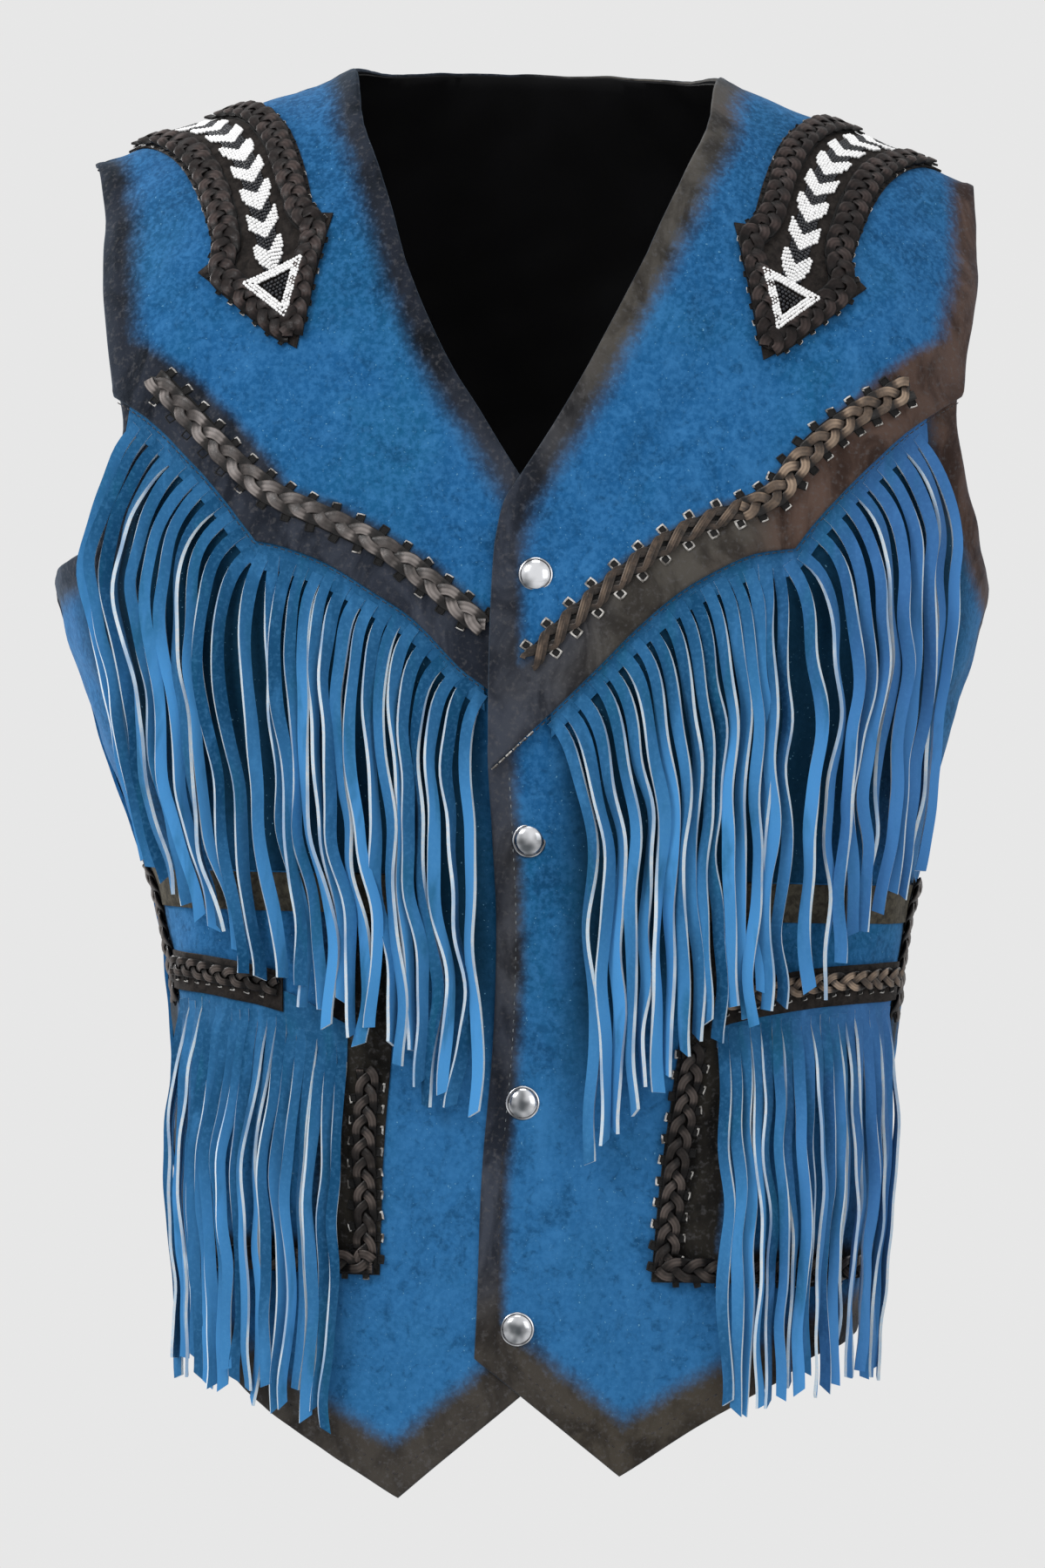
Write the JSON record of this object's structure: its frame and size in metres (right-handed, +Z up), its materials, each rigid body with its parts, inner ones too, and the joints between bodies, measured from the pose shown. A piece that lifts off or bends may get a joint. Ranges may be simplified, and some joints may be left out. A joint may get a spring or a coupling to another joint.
{
  "type": "western vest",
  "caption": "Sleeveless suede vest in its worn shape: V neck, pointed hem, fringed yokes and pockets, laced braid, beaded shoulder arrows and a snap front.",
  "frame": {"origin": "centre line between the shoulders, at the height of the shoulder seams' neck points, on the plane of the side seams", "axes": "+Z up, -Y the way the wearer faces, +X towards the wearer's left"},
  "size_m": [0.4476, 0.2707, 0.6825],
  "materials": {
    "suede": "matte",
    "trim_leather": "satin",
    "lace": "satin",
    "lining": "matte",
    "beads": "gloss",
    "snap_metal": "polished"
  },
  "bodies": {
    "root": {"back": "suede", "back_lining": "lining", "front_right": "suede", "yoke_right": "suede", "chest_fringe_right": "suede", "yoke_braid_right": "lace", "arrow_patch_right": "trim_leather", "arrow_braid_right": "lace", "arrow_beadwork_right": "beads", "pocket_patch_right": "suede", "pocket_band_right": "trim_leather", "pocket_strip_right": "trim_leather", "pocket_strip_braid_right": "lace", "pocket_side_braid_right": "lace", "pocket_edge_braid_right": "lace", "pocket_fringe_right": "suede", "front_left": "suede", "yoke_left": "suede", "chest_fringe_left": "suede", "yoke_braid_left": "lace", "arrow_patch_left": "trim_leather", "arrow_braid_left": "lace", "arrow_beadwork_left": "beads", "pocket_patch_left": "suede", "pocket_band_left": "trim_leather", "pocket_strip_left": "trim_leather", "pocket_strip_braid_left": "lace", "pocket_side_braid_left": "lace", "pocket_edge_braid_left": "lace", "pocket_fringe_left": "suede", "snap_1": "snap_metal", "snap_2": "snap_metal", "snap_3": "snap_metal", "snap_4": "snap_metal"}
  },
  "joints": []
}
